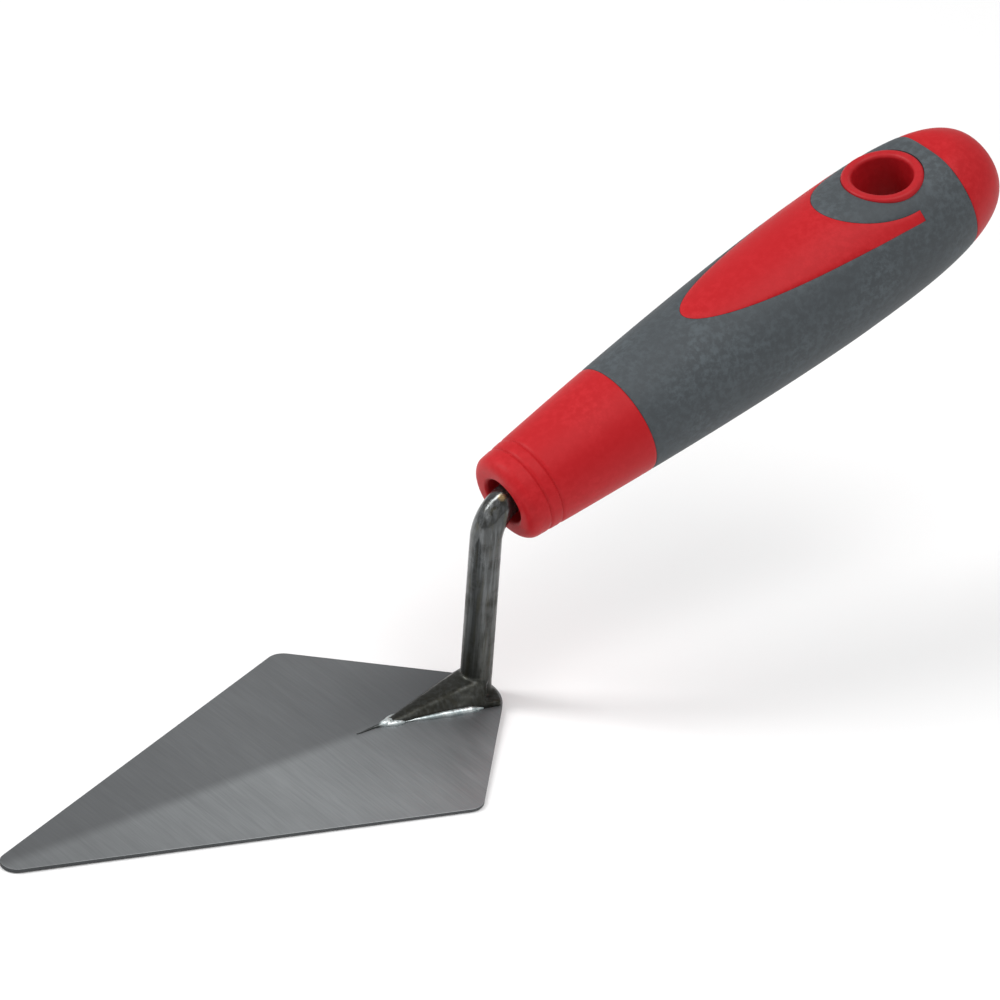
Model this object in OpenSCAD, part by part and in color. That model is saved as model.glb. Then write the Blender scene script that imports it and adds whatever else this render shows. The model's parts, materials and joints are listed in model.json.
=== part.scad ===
// Pointing trowel: a ground steel blade, a cranked steel tang welded to it,
// and a two-shot plastic handle with a soft grip sleeve and a hanging hole.
// The origin is on the underside of the blade, straight below the foot of the neck.
// +X points to the tip of the blade, +Y to its left edge and +Z up.

/* [Blade] */
// Length from the heel corner to the tip, before the corners are rounded
blade_len = 150; // [110:1:200]
// Width across the two shoulders, before they are rounded
blade_w = 74.6; // [60:0.2:100]
// Distance from the heel corner forward to the line of the shoulders
shoulder_set = 37.5; // [32:0.5:50]
// Corner radius at the heel
heel_r = 11; // [6:0.5:14]
// Corner radius at the two shoulders
shoulder_r = 4.5; // [2:0.5:8]
// Corner radius at the tip
tip_r = 3.5; // [2:0.5:8]
// Thickness on the centre line at the heel
heel_t = 1.6; // [1.2:0.1:3]
// Thickness on the centre line at the tip
tip_t = 0.9; // [0.6:0.1:2]
// Thickness at the shoulders
edge_t = 0.7; // [0.5:0.1:1.1]

/* [Tang] */
// Diameter of the round bar
rod_d = 7.3; // [5.5:0.1:9]
// Distance from the heel corner to the centre of the neck
neck_set = 9.5; // [8:0.5:14]
// Height of the point where the lines of neck and handle cross
neck_h = 49.4; // [36:0.5:70]
// Forward lean of the neck
neck_lean = 2.3; // [0:0.1:6]
// Centre-line radius of the bend
bend_r = 9.5; // [6:0.1:11]
// Extra radius of the bar where it was squeezed in the bend
bend_swell = 0.05; // [0.03:0.01:0.2]
// Reach of the spike inside the handle, from the mouth
spike_len = 92; // [60:1:98]
// Length of the swaged flat near the end of the spike
flat_len = 16; // [8:1:24]
// Width of the swaged flat
flat_w = 9.4; // [8.5:0.1:11]
// Thickness of the swaged flat
flat_t = 4.6; // [3:0.1:5.4]

/* [Foot] */
// Distance from the heel corner to the toe of the foot
foot_reach = 36; // [30:1:50]
// Full width of the foot at its heel end
foot_w = 15.6; // [14:0.2:20]
// Radius of the rounded heel end of the foot
foot_end_r = 14; // [11:0.5:20]
// Gap from the heel corner to the end of the foot
foot_set = 5.8; // [4.5:0.1:7]
// Thickness of the pad behind the neck
pad_t = 1.1; // [0.8:0.1:2]
// Rounding of the toe
toe_r = 0.6; // [0.4:0.1:1]
// Thickness of the toe above the blade
toe_t = 0.3; // [0.2:0.1:0.8]
// Height above the blade at which the wedge leaves the neck
wedge_h = 5; // [3:0.1:9]

/* [Welds] */
// Radius of the weld bead along each side of the foot
bead_r = 1.3; // [0.8:0.1:2]
// Length of the weld puddle, before and after the end of the toe
puddle_len = 5; // [4.5:0.5:8]
// Radius of the front end of the puddle
puddle_r = 0.8; // [0.5:0.1:1.2]
// Bare length between each bead and the puddle
weld_gap = 0.4; // [0.2:0.1:1]

/* [Handle] */
// Angle of the handle above the blade
tilt = 20; // [10:1:30]
// Length from the mouth to the butt
handle_len = 144.8; // [130:0.1:175]
// Distance from the bend point to the mouth
mouth_set = 4.4; // [3:0.1:8]
// Radius at the mouth
mouth_r = 10.5; // [10:0.1:13]
// Largest radius
swell_r = 16.9; // [15.5:0.1:19]
// Distance from the mouth to the largest radius
swell_at = 96.5; // [90:0.5:105]
// Shape of the taper towards the mouth, where 1 is a straight cone
taper_power = 1.5; // [1.2:0.05:2]
// Fullness of the butt end, where 2 is an ellipse
butt_power = 3.1; // [2:0.05:3.5]
// Rounding of the mouth
lip_r = 2.6; // [1:0.1:3.5]
// Length of the hard collar at the mouth
collar_len = 34; // [20:1:45]
// Length of the hard dome at the butt
dome_len = 14.3; // [12:0.1:17]
// Thickness of the soft sleeve
sleeve_t = 2; // [1.2:0.1:2.6]
// Radius of the recess round the bar at the mouth
recess_r = 5.7; // [5.2:0.1:6.5]
// Depth of the recess
recess_d = 8; // [5:0.5:12]
// Positions of the two fine ring grooves behind the mouth
ring_at = [5.2, 8.4]; // [0:0.1:30]
// Width of a ring groove
ring_w = 0.9; // [0.4:0.1:1.4]
// Depth of a ring groove
ring_depth = 0.3; // [0.1:0.05:0.5]

/* [Hanging hole] */
// Distance from the mouth to the centre of the hole
hole_at = 117.3; // [113:0.1:119]
// Radius of the hole
hole_r = 7; // [5:0.1:8]
// Wall of the hard eyelet round the hole
eyelet_wall = 2.5; // [1.5:0.1:3]
// Depth of the shallow scoop round the eyelet
scoop_depth = 2.2; // [0.8:0.1:2.6]
// Radius of the scoop, as seen from the side of the handle
scoop_r = 66; // [50:1:90]
// Fall of the scoop towards the butt
scoop_tilt = 7; // [0:0.5:9]

/* [Window] */
// Distance from the mouth to the front of the hard window in the sleeve
window_front = 57; // [43:1:70]
// Half width of the window
window_half_w = 14.1; // [11:0.1:14.5]
// Length of the long oval that bounds the window
window_oval = 69; // [60:1:80]
// Half length of the soft island round the eyelet
island_half_len = 18.8; // [14:0.1:24]
// Half width of the soft island round the eyelet
island_half_w = 12.2; // [10.8:0.1:13]

/* [Fits] */
// Gap between the bar and the plastic moulded round it
tang_gap = 0.1; // [0.05:0.05:0.3]
// Gap between the hard core and the soft sleeve
sleeve_gap = 0.1; // [0.05:0.05:0.3]

/* [Hidden] */
$fn = 96;
far = 400;
rod_r = rod_d / 2;
blade_half_w = blade_w / 2;
heel_x = -neck_set;
toe_x = heel_x + foot_reach;
ridge_pitch = atan((heel_t - tip_t) / blade_len);
turn = 90 - tilt + neck_lean;
bend_reach = bend_r * tan(turn / 2);
bend_x = neck_h * tan(neck_lean);
dome_at = handle_len - dome_len;
spike_reach = mouth_set + spike_len;
eyelet_r = hole_r + eyelet_wall;
bend_lap = 0.4;
foot_half_w = foot_w / 2;
foot_base = heel_t / 2;
foot_end_x = heel_x + foot_set;
foot_corner_x = foot_end_x + foot_end_r - sqrt(pow(foot_end_r, 2) - pow(foot_half_w, 2));
step_len = 5;
corner_steps = 5;
pad_steps = 8;

// Thickness of the blade on its centre line
function ridge_z(x) = heel_t + (tip_t - heel_t) * (x - heel_x) / blade_len;

// Points of an arc of radius r that rounds the corner b between a and c
function unit(v) = v / norm(v);
function rounded(a, b, c, r) =
    let (
        back = unit(a - b),
        ahead = unit(c - b),
        half = acos(back * ahead) / 2,
        centre = b + unit(back + ahead) * r / sin(half),
        first = b + back * r / tan(half) - centre,
        last = b + ahead * r / tan(half) - centre,
        start = atan2(first[1], first[0]),
        sweep = ((atan2(last[1], last[0]) - start + 540) % 360) - 180
    )
    [for (i = [0:corner_steps])
        centre + r * [cos(start + sweep * i / corner_steps), sin(start + sweep * i / corner_steps)]];

// Radius of the handle at distance s from the mouth
function butt_r(s) =
    swell_r * pow(1 - pow((s - swell_at) / (handle_len - swell_at), butt_power), 1 / butt_power);
function front_r(s) = swell_r - (swell_r - mouth_r) * pow((swell_at - s) / swell_at, taper_power);
function handle_r(s) = s < swell_at ? front_r(s) : butt_r(min(s, handle_len));

// Evenly spaced distances from a to b, both included
function stations(a, b) =
    let (count = ceil((b - a) / step_len))
    [for (i = [0:count]) a + (b - a) * i / count];

// Outline of the handle between two distances, inset by a wall
function side(a, b, inset) = [for (s = stations(a, b)) [handle_r(s) - inset, s]];

// Rounded mouth, from the face to the side
function lip() =
    let (middle = handle_r(lip_r) - lip_r)
    [for (i = [0:6]) [middle + lip_r * sin(15 * i), lip_r - lip_r * cos(15 * i)]];

// A fine ring groove
function ring(s) = [
    [handle_r(s - ring_w / 2), s - ring_w / 2],
    [handle_r(s) - ring_depth, s],
    [handle_r(s + ring_w / 2), s + ring_w / 2]
];

// Hard dome, from its seam to the middle of the butt
function dome() =
    let (seam = asin(pow((dome_at - swell_at) / (handle_len - swell_at), butt_power / 2)))
    [for (i = [0:12])
        let (a = seam + (90 - seam) * i / 12)
        [
            swell_r * pow(cos(a), 2 / butt_power),
            swell_at + (handle_len - swell_at) * pow(sin(a), 2 / butt_power)
        ]];

function collar() = concat(lip(), ring(ring_at[0]), ring(ring_at[1]),
    side(ring_at[1] + ring_w, collar_len, 0));

// Moves a piece drawn along +Z from the mouth, with +X as its top, into place
module on_handle() {
    translate([bend_x, 0, neck_h])
        rotate([0, tilt - 90, 0])
            translate([0, 0, mouth_set])
                children();
}

module blade_outline() {
    heel = [heel_x, 0];
    left = [heel_x + shoulder_set, blade_half_w];
    right = [heel_x + shoulder_set, -blade_half_w];
    tip = [heel_x + blade_len, 0];
    polygon(concat(
        rounded(right, heel, left, heel_r),
        rounded(heel, left, tip, shoulder_r),
        rounded(left, tip, right, tip_r),
        rounded(tip, right, heel, shoulder_r)
    ));
}

// Everything above the ground face on one side of the centre line
module above_ground_face(hand) {
    drop = (ridge_z(heel_x + shoulder_set) - edge_t) * cos(ridge_pitch);
    translate([heel_x, 0, heel_t])
        rotate([0, ridge_pitch, 0])
            rotate([-hand * atan(drop / blade_half_w), 0, 0])
                translate([-far / 2, -far / 2, 0])
                    cube([far, far, far / 4]);
}

module blade() {
    color("lightslategray")
        difference() {
            linear_extrude(height = heel_t + 1)
                blade_outline();
            above_ground_face(1);
            above_ground_face(-1);
        }
}

// Half width of the foot, which narrows evenly to its toe
function foot_half(x) = toe_r + (foot_half_w - toe_r) * (toe_x - x) / (toe_x - foot_corner_x);

// Flat pad behind and under the neck, with a rounded heel end
module pad() {
    end_angle = asin(foot_half_w / foot_end_r);
    inside = 1.5;
    translate([0, 0, foot_base])
        linear_extrude(height = heel_t + pad_t - foot_base)
            polygon(concat(
                [for (i = [-pad_steps:pad_steps])
                    let (a = end_angle * i / pad_steps)
                    [foot_end_x + foot_end_r * (1 - cos(a)), -foot_end_r * sin(a)]],
                [
                    [foot_corner_x + inside, inside - foot_half_w],
                    [foot_corner_x + inside, foot_half_w - inside]
                ]
            ));
}

// Wedge that runs from the neck down to the toe
module wedge() {
    translate([0, 0, foot_base])
        hull() {
            cylinder(h = heel_t + wedge_h - foot_base, r = rod_r, $fn = 32);
            linear_extrude(height = heel_t + pad_t - foot_base)
                polygon([
                    [foot_corner_x, foot_half_w],
                    [foot_corner_x, -foot_half_w],
                    [rod_d, -foot_half(rod_d)],
                    [rod_d, foot_half(rod_d)]
                ]);
            translate([toe_x - toe_r, 0, 0])
                cylinder(h = ridge_z(toe_x) + toe_t - foot_base, r = toe_r, $fn = 16);
        }
}

// Straight neck, which starts inside the foot
module neck() {
    start = heel_t;
    rotate([0, neck_lean, 0])
        translate([0, 0, start])
            cylinder(h = neck_h / cos(neck_lean) - bend_reach - start + bend_lap, r = rod_r);
}

// Quarter turn and more that joins the neck to the spike
module bend() {
    low = [bend_x, neck_h] - bend_reach * [sin(neck_lean), cos(neck_lean)];
    centre = low + bend_r * [-cos(neck_lean), sin(neck_lean)];
    translate([centre[0], 0, centre[1]])
        rotate([90, 0, 0])
            rotate([0, 0, -neck_lean])
                rotate_extrude(angle = turn)
                    translate([bend_r, 0])
                        circle(r = rod_r + bend_swell);
}

// Straight bar and swaged flat inside the handle, grown by a gap
module spike(gap) {
    start = bend_reach - mouth_set - bend_lap;
    flat_at = spike_len - flat_len;
    translate([0, 0, start])
        cylinder(h = flat_at + 1 - start, r = rod_r + gap);
    translate([-flat_t / 2 - gap, -flat_w / 2 - gap, flat_at - gap])
        cube([flat_t + 2 * gap, flat_w + 2 * gap, flat_len + 2 * gap]);
}

module tang() {
    color("dimgray")
        difference() {
            union() {
                pad();
                wedge();
                neck();
                bend();
                on_handle()
                    spike(0);
            }
            blade();
        }
}

// Bead along one side of the foot, from below the neck to near the toe
module bead() {
    first = rod_r;
    last = toe_x - puddle_len;
    hull() {
        for (x = [first, last])
            translate([x, -foot_half(x), ridge_z(x)])
                sphere(r = bead_r, $fn = 24);
    }
}

// The bead on the right of the foot, trimmed to what it lies against
module side_weld() {
    difference() {
        bead();
        tang();
        blade();
    }
}

module weld_left() {
    color("silver")
        mirror([0, 1, 0])
            side_weld();
}

module weld_right() {
    color("silver")
        side_weld();
}

// Puddle of weld metal that closes the toe of the foot
module weld_toe() {
    back = toe_x - puddle_len + 2 * bead_r + weld_gap;
    color("silver")
        difference() {
            hull() {
                for (hand = [-1, 1])
                    translate([back, hand * foot_half(back), ridge_z(back)])
                        sphere(r = bead_r, $fn = 24);
                translate([toe_x + puddle_len - puddle_r, 0, ridge_z(toe_x)])
                    sphere(r = puddle_r, $fn = 24);
            }
            tang();
            blade();
        }
}

// Oval window in the top of the sleeve, drawn along the handle and inset by a gap
module window(gap) {
    oval_at = window_front + window_oval;
    half_len = window_oval - gap;
    half_w = window_half_w - gap;
    horn = acos((oval_at - hole_at + gap) / half_len);
    island_len = island_half_len + gap;
    island_w = island_half_w + gap;
    rotate([0, 90, 0])
        linear_extrude(height = 2 * swell_r)
            polygon(concat(
                [for (i = [-14:14])
                    [half_len * cos(horn * i / 14) - oval_at, half_w * sin(horn * i / 14)]],
                [for (i = [9:-1:-9])
                    [island_len * cos(10 * i) - hole_at, island_w * sin(10 * i)]]
            ));
}

// Round bar across the handle at the hanging hole
module cross_bar(r) {
    translate([0, 0, hole_at])
        rotate([0, 90, 0])
            cylinder(h = 4 * swell_r, r = r, center = true);
}

// Shallow scoops round both ends of the hole
module scoops() {
    for (side = [0, 1])
        mirror([side, 0, 0])
            translate([handle_r(hole_at) - scoop_depth, 0, hole_at])
                rotate([0, -scoop_tilt, 0])
                    translate([scoop_r, 0, 0])
                        rotate([90, 0, 0])
                            cylinder(h = 4 * swell_r, r = scoop_r, center = true, $fn = 360);
}

// Full outer shape of the handle over the length of the sleeve
module sleeve_envelope() {
    rotate_extrude()
        polygon(concat([[0, collar_len]], side(collar_len, dome_at, 0), [[0, dome_at]]));
}

module handle_core() {
    color("firebrick")
        on_handle()
            difference() {
                union() {
                    rotate_extrude()
                        polygon(concat(
                            [[0, 0]],
                            collar(),
                            side(collar_len, dome_at, sleeve_t + sleeve_gap),
                            dome()
                        ));
                    intersection() {
                        sleeve_envelope();
                        union() {
                            window(sleeve_gap);
                            cross_bar(eyelet_r);
                        }
                    }
                }
                scoops();
                cross_bar(hole_r);
                spike(tang_gap);
                translate([0, 0, -1])
                    cylinder(h = recess_d + 1, r = recess_r);
            }
}

module grip_sleeve() {
    front = collar_len + sleeve_gap;
    back = dome_at - sleeve_gap;
    inner = side(front, back, sleeve_t);
    color("slategray")
        on_handle()
            difference() {
                rotate_extrude()
                    polygon(concat(
                        side(front, back, 0),
                        [for (i = [len(inner) - 1:-1:0]) inner[i]]
                    ));
                scoops();
                window(0);
                cross_bar(eyelet_r + sleeve_gap);
            }
}

blade();
tang();
weld_left();
weld_right();
weld_toe();
handle_core();
grip_sleeve();
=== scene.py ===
# %% [markdown]
# # A pointing trowel
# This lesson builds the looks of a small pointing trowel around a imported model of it.
# The real tool is a ground steel blade, a bent steel bar welded to its heel, and a moulded
# two-colour handle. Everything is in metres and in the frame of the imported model: the origin
# is under the foot of the neck, +X points to the tip, +Y to the left edge and +Z up.

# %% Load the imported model
import json
import math

import bmesh
import bpy
from mathutils import Matrix, Vector, noise
from mathutils.kdtree import KDTree


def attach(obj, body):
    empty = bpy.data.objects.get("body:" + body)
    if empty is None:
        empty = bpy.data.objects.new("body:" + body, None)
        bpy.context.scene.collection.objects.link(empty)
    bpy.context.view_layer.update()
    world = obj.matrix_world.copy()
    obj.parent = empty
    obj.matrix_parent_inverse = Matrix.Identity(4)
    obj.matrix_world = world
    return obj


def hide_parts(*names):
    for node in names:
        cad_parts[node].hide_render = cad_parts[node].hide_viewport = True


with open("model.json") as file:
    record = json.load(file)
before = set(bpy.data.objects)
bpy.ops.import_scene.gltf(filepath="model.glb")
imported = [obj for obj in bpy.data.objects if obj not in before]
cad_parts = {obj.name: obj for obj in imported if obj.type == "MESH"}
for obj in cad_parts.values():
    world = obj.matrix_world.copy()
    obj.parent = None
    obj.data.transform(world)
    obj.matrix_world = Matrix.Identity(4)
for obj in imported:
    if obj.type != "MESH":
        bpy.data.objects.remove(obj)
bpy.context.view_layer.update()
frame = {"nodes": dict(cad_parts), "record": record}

MM = 0.001
print("nodes:", sorted(frame["nodes"]))

# %% [markdown]
# ## The handle's own axes
# The hanging hole is a stated mount, so its axis gives the handle's top, and the direction
# square to it gives the line of the handle. A point on the handle is then three numbers: how
# high above the centre line, how far to the left, and how far from the mouth.

# %% Axes of the handle
HOLE_AT = 117.3
mounts = {mount["name"]: mount for mount in frame["record"]["mounts"]}
hang_hole = mounts["hang_hole"]
handle_up = Vector(hang_hole["axis"]).normalized()
handle_along = Vector((-handle_up.z, 0, handle_up.x))
handle_side = Vector((0, 1, 0))
mouth = Vector(hang_hole["pos_m"]) - handle_along * HOLE_AT * MM


def on_handle(up, left, along):
    """A place on the handle, given in millimetres from the middle of its mouth."""
    return mouth + (handle_up * up + handle_side * left + handle_along * along) * MM


def in_handle(place):
    """The same three millimetre distances, worked back from a place."""
    offset = (place - mouth) / MM
    return offset.dot(handle_up), offset.dot(handle_side), offset.dot(handle_along)


print("middle of the mouth, mm:", [round(c / MM, 2) for c in mouth])

# %% [markdown]
# ## The outline of the handle
# The handle swells from a narrow mouth to a full palm and closes in a blunt butt. Two short
# formulas say so: a power curve for the front and part of a superellipse for the back. Round
# both ends of the hanging hole the mould has a shallow scoop, an arc seen from the side, and
# a smooth minimum blends that arc into the round handle.

# %% Outline and scoop
HANDLE_LEN = 144.8
MOUTH_R = 10.5
SWELL_R = 16.9
SWELL_AT = 96.5
TAPER_POWER = 1.5
BUTT_POWER = 3.1
COLLAR_LEN = 34
DOME_LEN = 14.3
DOME_AT = HANDLE_LEN - DOME_LEN
SLEEVE_T = 2
SEAM_GAP = 0.1
SCOOP_DEPTH = 2.2
SCOOP_R = 66
SCOOP_TILT = math.radians(7)
SCOOP_BLEND = 1.6


def handle_r(s):
    if s < SWELL_AT:
        return SWELL_R - (SWELL_R - MOUTH_R) * ((SWELL_AT - s) / SWELL_AT) ** TAPER_POWER
    t = min((s - SWELL_AT) / (HANDLE_LEN - SWELL_AT), 1)
    return SWELL_R * (1 - t ** BUTT_POWER) ** (1 / BUTT_POWER)


def scoop_height(s):
    centre_up = handle_r(HOLE_AT) - SCOOP_DEPTH + SCOOP_R * math.cos(SCOOP_TILT)
    centre_s = HOLE_AT + SCOOP_R * math.sin(SCOOP_TILT)
    reach = min(abs(s - centre_s), SCOOP_R * 0.98)
    return centre_up - math.sqrt(SCOOP_R ** 2 - reach ** 2)


def smooth_min(a, b, blend):
    h = max(blend - abs(a - b), 0) / blend
    return min(a, b) - h * h * blend / 4


def scooped(up, left, s, below=0.0):
    """Presses a point of the handle down into the scoops, or a little below them."""
    if up == 0:
        return up, left, s
    height = smooth_min(abs(up), scoop_height(s) - below, SCOOP_BLEND)
    return math.copysign(height, up), left, s


print("largest radius, mm:", SWELL_R, "radius at the hole, mm:", round(handle_r(HOLE_AT), 2))

# %% [markdown]
# ## Helpers for meshes
# Most pieces start as a spun outline or an extruded one, and are then cut by another. The
# helpers keep each result a plain closed mesh at the origin, with normals facing outwards.

# %% Mesh helpers


def new_piece(name, vertices, faces):
    mesh = bpy.data.meshes.new(name)
    mesh.from_pydata([tuple(v) for v in vertices], [], faces)
    piece = bpy.data.objects.new(name, mesh)
    bpy.context.scene.collection.objects.link(piece)
    tidy_mesh(piece)
    return piece


def tidy_mesh(piece, merge=1e-7):
    """Merges doubles and turns every face outwards."""
    bm = bmesh.new()
    bm.from_mesh(piece.data)
    bmesh.ops.remove_doubles(bm, verts=bm.verts, dist=merge)
    bmesh.ops.dissolve_degenerate(bm, edges=bm.edges, dist=merge)
    bmesh.ops.recalc_face_normals(bm, faces=bm.faces)
    bm.to_mesh(piece.data)
    bm.free()


def apply_modifiers(piece):
    """Turns the evaluated shape into the piece's own plain mesh."""
    graph = bpy.context.evaluated_depsgraph_get()
    graph.update()
    mesh = bpy.data.meshes.new_from_object(piece.evaluated_get(graph))
    piece.modifiers.clear()
    old = piece.data
    piece.data = mesh
    mesh.name = piece.name
    if old.users == 0:
        bpy.data.meshes.remove(old)


def carve(piece, cutter, operation):
    """Cuts, joins or intersects a piece with another, which is used up."""
    cut = piece.modifiers.new("carve", "BOOLEAN")
    cut.operation = operation
    cut.solver = "EXACT"
    cut.object = cutter
    apply_modifiers(piece)
    mesh = cutter.data
    bpy.data.objects.remove(cutter)
    bpy.data.meshes.remove(mesh)


def join(piece, other):
    """Puts another piece's faces into this one, ready to be melted together."""
    bm = bmesh.new()
    bm.from_mesh(piece.data)
    bm.from_mesh(other.data)
    bm.to_mesh(piece.data)
    bm.free()
    mesh = other.data
    bpy.data.objects.remove(other)
    bpy.data.meshes.remove(mesh)


def melt_piece(piece, voxel, relax):
    """Remeshes joined pieces into one skin and smooths it a few times."""
    melt = piece.modifiers.new("melt", "REMESH")
    melt.mode = "VOXEL"
    melt.voxel_size = voxel * MM
    apply_modifiers(piece)
    soften = piece.modifiers.new("soften", "SMOOTH")
    soften.factor = 0.5
    soften.iterations = relax
    apply_modifiers(piece)


def roughen(piece, depth_at, floor):
    """Moves each corner out by depth_at(its place in mm), and none below the floor height."""
    normals = [v.normal.copy() for v in piece.data.vertices]
    for v, normal in zip(piece.data.vertices, normals):
        v.co = v.co + normal * depth_at(v.co / MM) * MM
        v.co.z = max(v.co.z, floor * MM)


def smooth_shade(piece, sharp_deg=35):
    piece.data.shade_smooth()
    piece.data.set_sharp_from_angle(angle=math.radians(sharp_deg))


def spun(name, outline, below=0.0, turns=160):
    """Spins an outline of (radius, distance from the mouth) round the handle's line."""
    vertices = []
    rings = []
    for radius, s in outline:
        if radius == 0:
            rings.append([len(vertices)])
            vertices.append(on_handle(0, 0, s))
            continue
        rings.append(list(range(len(vertices), len(vertices) + turns)))
        for i in range(turns):
            a = 2 * math.pi * (i + 0.5) / turns
            vertices.append(on_handle(*scooped(radius * math.cos(a), radius * math.sin(a), s, below)))
    faces = []
    for near, far in zip(rings, rings[1:]):
        for i in range(turns):
            j = (i + 1) % turns
            corners = [near[i % len(near)], near[j % len(near)], far[j % len(far)], far[i % len(far)]]
            faces.append(tuple(dict.fromkeys(corners)))
    return new_piece(name, vertices, faces)


def bar_across(name, radius, half_len, sides=128):
    """A round bar through the hanging hole, used as a cutter."""
    vertices = []
    for up in (-half_len, half_len):
        for i in range(sides):
            a = 2 * math.pi * i / sides
            vertices.append(on_handle(up, radius * math.sin(a), HOLE_AT + radius * math.cos(a)))
    walls = [(i, (i + 1) % sides, sides + (i + 1) % sides, sides + i) for i in range(sides)]
    ends = [tuple(range(sides)), tuple(range(sides, 2 * sides))]
    return new_piece(name, vertices, walls + ends)


def steps(a, b, size=1.0):
    """Evenly spaced numbers from a to b, no further apart than size."""
    count = max(1, math.ceil((b - a) / size))
    return [a + (b - a) * i / count for i in range(count + 1)]


print("helpers ready")

# %% [markdown]
# ## The oval window
# The hard core shows through the sleeve in a long oval on top of the handle. Its back is cut
# away round the eyelet by a second oval, which leaves two horns. Both pieces use the same
# outline, the core's a hair smaller, so they meet in a fine even seam.

# %% Outline of the window
WINDOW_FRONT = 57
WINDOW_HALF_W = 14.1
WINDOW_OVAL = 69
ISLAND_HALF_LEN = 18.8
ISLAND_HALF_W = 12.2


def window_outline(inset):
    """Corners of the window as (left, distance from the mouth)."""
    oval_at = WINDOW_FRONT + WINDOW_OVAL
    half_len = WINDOW_OVAL - inset
    half_w = WINDOW_HALF_W - inset
    horn = math.acos((oval_at - HOLE_AT + inset) / half_len)
    outer = [(half_w * math.sin(a), oval_at - half_len * math.cos(a)) for a in steps(-horn, horn, 0.03)]
    inner = [((ISLAND_HALF_W + inset) * math.sin(a), HOLE_AT - (ISLAND_HALF_LEN + inset) * math.cos(a))
             for a in steps(-math.pi / 2, math.pi / 2, 0.05)]
    return outer + inner[::-1]


def window_prism(name, inset, bottom=3, top=24):
    outline = window_outline(inset)
    n = len(outline)
    vertices = [on_handle(up, left, s) for up in (bottom, top) for left, s in outline]
    walls = [(i, (i + 1) % n, n + (i + 1) % n, n + i) for i in range(n)]
    return new_piece(name, vertices, walls + [tuple(range(n)), tuple(range(n, 2 * n))])


print("window corners:", len(window_outline(0)))

# %% [markdown]
# ## The soft sleeve
# The sleeve is a thin rubber skin moulded over the core. It is spun as a closed wall, and the
# window and the eyelet are cut out of it. A moulded edge is never knife sharp, so the skin
# then sinks a little towards every seam, by an amount that fades with the distance from it.

# %% Seams that sink a little
SEAM_DEPTH = 0.16
SEAM_WIDTH = 0.7
EYELET_R = 9.5
CUTTER_HALF_LEN = 30


def ease_seams(piece, depth=SEAM_DEPTH, width=SEAM_WIDTH, ends=()):
    """Sinks the outer skin towards its sharp edges and towards the given end distances."""
    bm = bmesh.new()
    bm.from_mesh(piece.data)

    def is_skin(v):
        up, left, s = in_handle(v.co)
        radius = math.hypot(up, left)
        full = math.hypot(*scooped(handle_r(s) * up / radius, handle_r(s) * left / radius, s)[:2])
        return radius > full - 0.5 * SLEEVE_T

    skin = [v for v in bm.verts if is_skin(v)]
    on_skin = set(skin)
    seam = []
    for edge in bm.edges:
        a, b = edge.verts
        if a in on_skin and b in on_skin and len(edge.link_faces) == 2:
            if edge.calc_face_angle(0) > math.radians(40):
                count = max(1, math.ceil((b.co - a.co).length / (0.3 * MM)))
                seam += [a.co.lerp(b.co, i / count) for i in range(count + 1)]
    tree = KDTree(len(seam))
    for i, place in enumerate(seam):
        tree.insert(place, i)
    tree.balance()
    for v in skin:
        distance = tree.find(v.co)[2] / MM if seam else width
        s = in_handle(v.co)[2]
        distance = min([distance] + [abs(s - end) for end in ends])
        fade = max(0, 1 - distance / width)
        up, left, s = in_handle(v.co)
        pull = 1 - depth * fade * fade / math.hypot(up, left)
        v.co = on_handle(up * pull, left * pull, s)
    bm.to_mesh(piece.data)
    bm.free()


print("seams sink by", SEAM_DEPTH, "mm over", SEAM_WIDTH, "mm")

# %% Build the sleeve
front = COLLAR_LEN + SEAM_GAP
back = DOME_AT - SEAM_GAP
skin_steps = [front, front + 0.25, front + 0.5] + steps(front + 1, back - 1) + [back - 0.5, back - 0.25, back]
outer_wall = [(handle_r(s), s) for s in skin_steps]
sleeve = spun("soft_grip_sleeve", outer_wall)
inner_wall = [(handle_r(s) - SLEEVE_T, s) for s in steps(front - 2, back + 2, 2)]
hollow = spun("sleeve_hollow", [(0, front - 2)] + inner_wall + [(0, back + 2)], below=0.8)
bm = bmesh.new()
bm.from_mesh(sleeve.data)
bmesh.ops.holes_fill(bm, edges=[e for e in bm.edges if e.is_boundary], sides=0)
bmesh.ops.recalc_face_normals(bm, faces=bm.faces)
bm.to_mesh(sleeve.data)
bm.free()
carve(sleeve, hollow, "DIFFERENCE")
carve(sleeve, window_prism("window_cutter", 0), "DIFFERENCE")
carve(sleeve, bar_across("eyelet_cutter", EYELET_R + SEAM_GAP, CUTTER_HALF_LEN), "DIFFERENCE")
ease_seams(sleeve)
smooth_shade(sleeve)
print("sleeve faces:", len(sleeve.data.polygons))

# %% [markdown]
# ## The hard core
# Collar, inner body and dome are one spun outline. It runs from the middle of the butt over
# the dome, down the step under the sleeve, along the collar, round the lip of the mouth and
# back inside along the bore for the bar.

# %% Build the core
LIP_R = 2.6
MOUTH_EDGE_R = 0.9
RECESS_R = 5.7
RECESS_D = 8
BORE_R = 3.75
BORE_D = 92.1
RING_AT = (5.2, 8.4)
RING_W = 0.9
RING_DEPTH = 0.2
CORE_INSET = SLEEVE_T + SEAM_GAP


def dome_outline():
    seam = math.asin(((DOME_AT - SWELL_AT) / (HANDLE_LEN - SWELL_AT)) ** (BUTT_POWER / 2))
    points = []
    for a in steps(seam, math.pi / 2, 0.025):
        radius = SWELL_R * max(math.cos(a), 0) ** (2 / BUTT_POWER)
        points.append((radius, SWELL_AT + (HANDLE_LEN - SWELL_AT) * math.sin(a) ** (2 / BUTT_POWER)))
    points[-1] = (0, HANDLE_LEN)
    return points


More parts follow.
